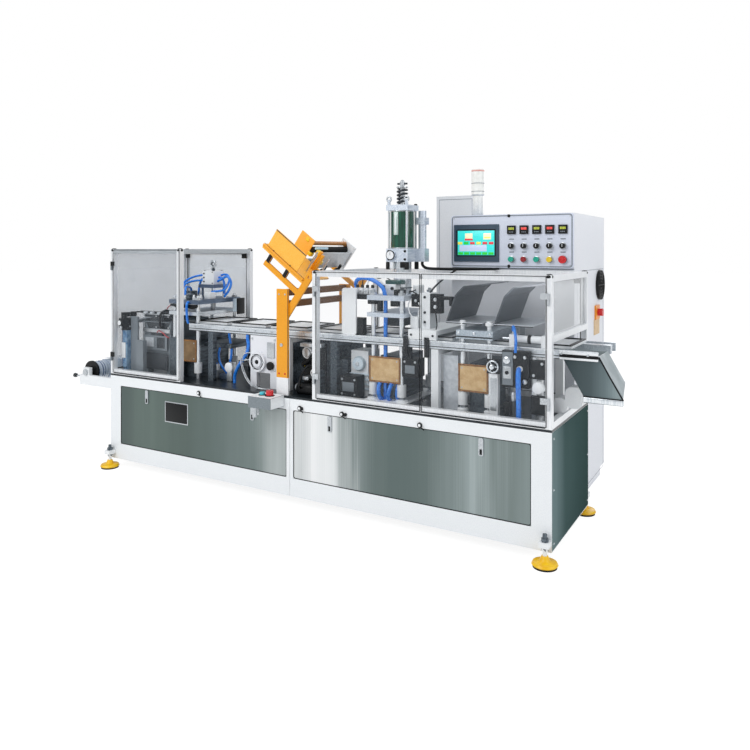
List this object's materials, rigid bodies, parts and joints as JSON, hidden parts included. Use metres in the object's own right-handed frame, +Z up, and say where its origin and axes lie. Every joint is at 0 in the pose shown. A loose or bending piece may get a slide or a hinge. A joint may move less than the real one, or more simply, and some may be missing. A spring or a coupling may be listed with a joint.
{
  "type": "blister packing machine",
  "caption": "Inline card blister packing machine: film unwinder, forming press, card feeder, sealing press with booster cylinder, cutting press, guards, chute and control cabinet.",
  "frame": {"origin": "on the floor under the middle of the whole machine's box", "axes": "+X along the line from the film unwinder to the discharge chute, +Y from the operator side to the back, +Z up"},
  "size_m": [3.581, 1.551, 1.882],
  "materials": {
    "white_paint": "smooth white powder coat",
    "stainless": "brushed stainless sheet",
    "dark_steel": "dark table plate",
    "black_plastic": "moulded black plastic",
    "yellow_foot": "moulded yellow plastic",
    "rubber": "black rubber",
    "profile": "anodised profile",
    "acrylic": "clear acrylic sheet",
    "steel": "ground steel",
    "chrome": "hard chromed bar",
    "machined": "machined plate",
    "tan_plate": "tan cover plate",
    "orange": "yellow orange powder coat",
    "brown": "dark orange painted beam",
    "green_tube": "green coated barrel",
    "film": "clear blister film",
    "grey_sheet": "grey painted sheet",
    "cabinet_paint": "fine texture light grey paint",
    "panel_grey": "silver grey panel",
    "bezel": "dark blue bezel",
    "heater_grey": "dark grey heater plates",
    "blue_tank": "blue moulded bowl",
    "blue_hose": "blue air hose",
    "lamp": "white lamp",
    "box_grey": "grey control box"
  },
  "bodies": {
    "machine": {"base_posts": "white_paint", "base_rails": "white_paint", "base_panels": "stainless", "table_plates": "dark_steel", "panel_latches": "black_plastic", "foot_studs": "steel", "foot_pads": "yellow_foot", "foot_soles": "rubber", "guard_posts": "profile", "guard_rails": "profile", "guard_panes": "acrylic", "guard_hinges": "black_plastic", "conveyor_rails": "machined", "conveyor_legs": "white_paint", "carrier_trays": "machined", "drive_motor": "cabinet_paint", "film_arms": "white_paint", "film_shafts": "steel", "film_web": "film", "film_heaters": "heater_grey", "air_service_unit": "blue_tank", "guide_columns": "chrome", "column_collars": "white_paint", "crossheads": "machined", "tool_blocks": "steel", "tool_plates": "tan_plate", "air_cylinders": "white_paint", "air_hoses": "blue_hose", "valve_blocks": "black_plastic", "station_covers": "white_paint", "booster_blocks": "machined", "booster_barrel": "green_tube", "booster_rods": "chrome", "booster_bellows": "steel", "feeder_posts": "orange", "feeder_struts": "orange", "feeder_tray": "orange", "feeder_beams": "brown", "feeder_pickup": "steel", "cutting_hoods": "grey_sheet", "chute_sides": "stainless", "chute_slides": "stainless", "control_cabinet": "cabinet_paint", "control_panel": "panel_grey", "touch_screen": "bezel", "panel_controls": "black_plastic", "side_fittings": "black_plastic", "signal_lamp": "lamp", "button_box": "box_grey"},
    "left_door": {"left_guard_door": "acrylic", "left_door_leaves": "black_plastic"},
    "middle_door": {"middle_guard_door": "acrylic", "middle_door_leaves": "black_plastic"},
    "right_door": {"right_guard_door": "acrylic", "right_door_leaves": "black_plastic"},
    "roll": {"film_roll": "film"},
    "forming_platen": {"forming_head": "machined"},
    "sealing_platen": {"sealing_head": "machined"},
    "wheel": {"handwheel": "chrome"}
  },
  "joints": [
    {"name": "left_door_hinge", "type": "hinge", "parent": "machine", "child": "left_door", "pos_m": [-1.3735, -0.6635, 1], "axis": [0, 0, -1], "range_deg": [0, 100]},
    {"name": "middle_door_hinge", "type": "hinge", "parent": "machine", "child": "middle_door", "pos_m": [0.2265, -0.6635, 0.95], "axis": [0, 0, -1], "range_deg": [0, 100]},
    {"name": "right_door_hinge", "type": "hinge", "parent": "machine", "child": "right_door", "pos_m": [1.4965, -0.6635, 0.95], "axis": [0, 0, 1], "range_deg": [0, 100]},
    {"name": "roll_spin", "type": "hinge", "parent": "machine", "child": "roll", "pos_m": [-1.6585, -0.3355, 0.583], "axis": [0, 1, 0], "continuous": true},
    {"name": "forming_stroke", "type": "slide", "parent": "machine", "child": "forming_platen", "axis": [0, 0, -1], "range_m": [0, 0.03]},
    {"name": "sealing_stroke", "type": "slide", "parent": "machine", "child": "sealing_platen", "axis": [0, 0, -1], "range_m": [0, 0.03]},
    {"name": "handwheel_spin", "type": "hinge", "parent": "machine", "child": "wheel", "pos_m": [1.2075, -0.5875, 0.851], "axis": [0, 1, 0], "continuous": true}
  ]
}
